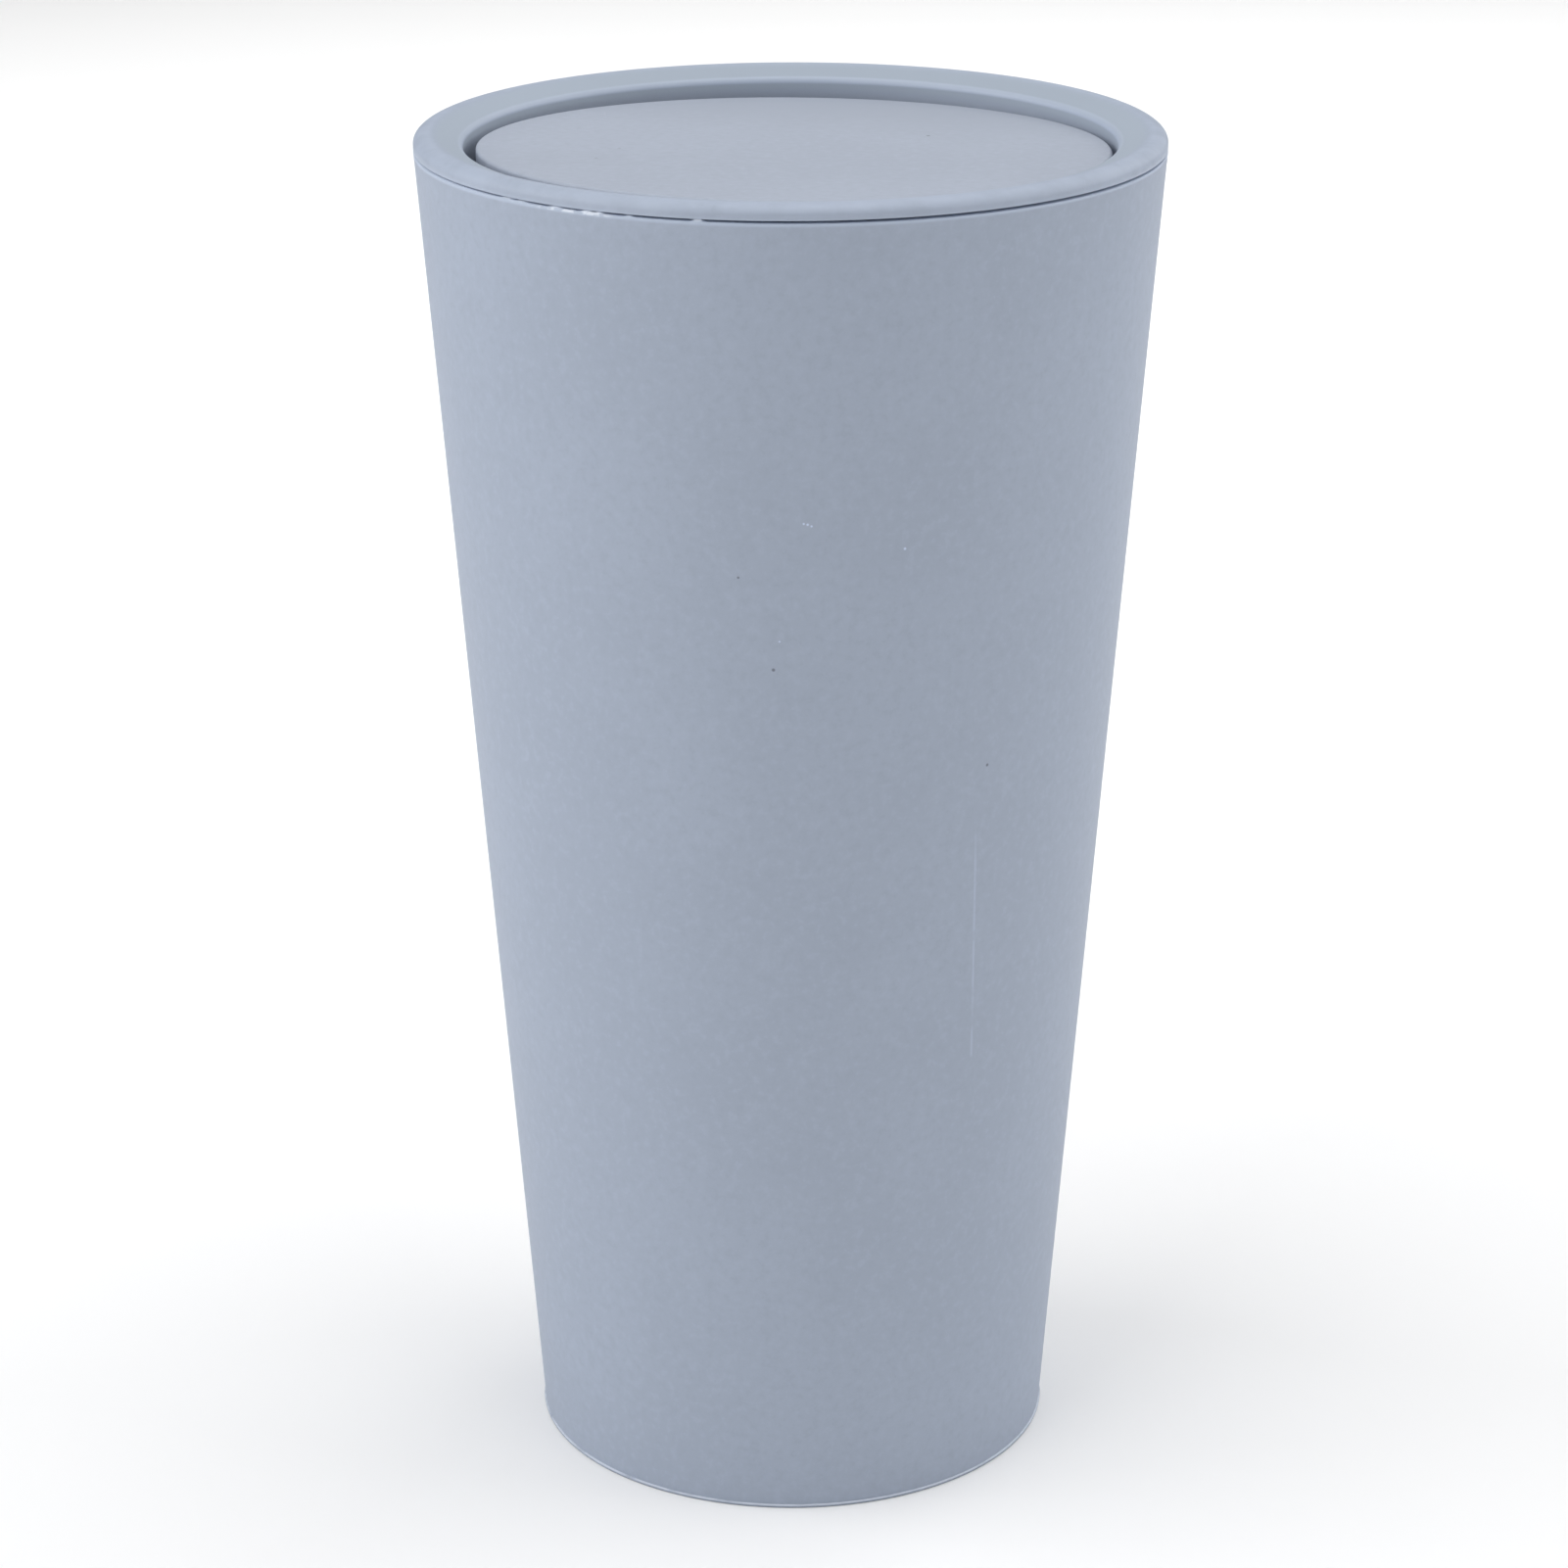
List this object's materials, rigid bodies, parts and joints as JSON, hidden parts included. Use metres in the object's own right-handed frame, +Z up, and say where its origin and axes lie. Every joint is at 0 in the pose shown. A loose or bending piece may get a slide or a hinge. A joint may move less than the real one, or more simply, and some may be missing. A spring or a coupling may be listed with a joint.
{
  "type": "swing-lid waste bin",
  "caption": "Small round waste bin with a tapered tub, a push-in lid ring flush with the tub, and a weighted round flap that swings both ways on side pins.",
  "frame": {"origin": "centre of the foot, on the plane that the bin stands on", "axes": "+Z up along the tub's axis, +X along the flap's pivot pins, +Y to the side of the flap that hangs lower at rest"},
  "size_m": [0.09, 0.09, 0.1679],
  "materials": {
    "tub_plastic": "matte fine-grained",
    "ring_plastic": "matte fine-grained",
    "flap_plastic": "matte fine-grained",
    "cover_plastic": "matte as moulded",
    "pin_steel": "drawn",
    "weight_steel": "sheared blank",
    "bush_plastic": "satin natural acetal"
  },
  "bodies": {
    "bin": {"tub": "tub_plastic"},
    "lid": {"lid_ring": "ring_plastic", "pivot_pin_left": "pin_steel", "pivot_pin_right": "pin_steel"},
    "flap": {"flap_shell": "flap_plastic", "flap_underside": "cover_plastic", "balance_weight": "weight_steel", "pivot_bush_left": "bush_plastic", "pivot_bush_right": "bush_plastic"}
  },
  "joints": [
    {"name": "lid_lift", "type": "slide", "parent": "bin", "child": "lid", "axis": [0, 0, 1], "range_m": [0, 0.1]},
    {"name": "flap_swing", "type": "hinge", "parent": "lid", "child": "flap", "pos_m": [0, 0, 0.162], "axis": [1, 0, 0], "range_deg": [-78, 82]}
  ]
}
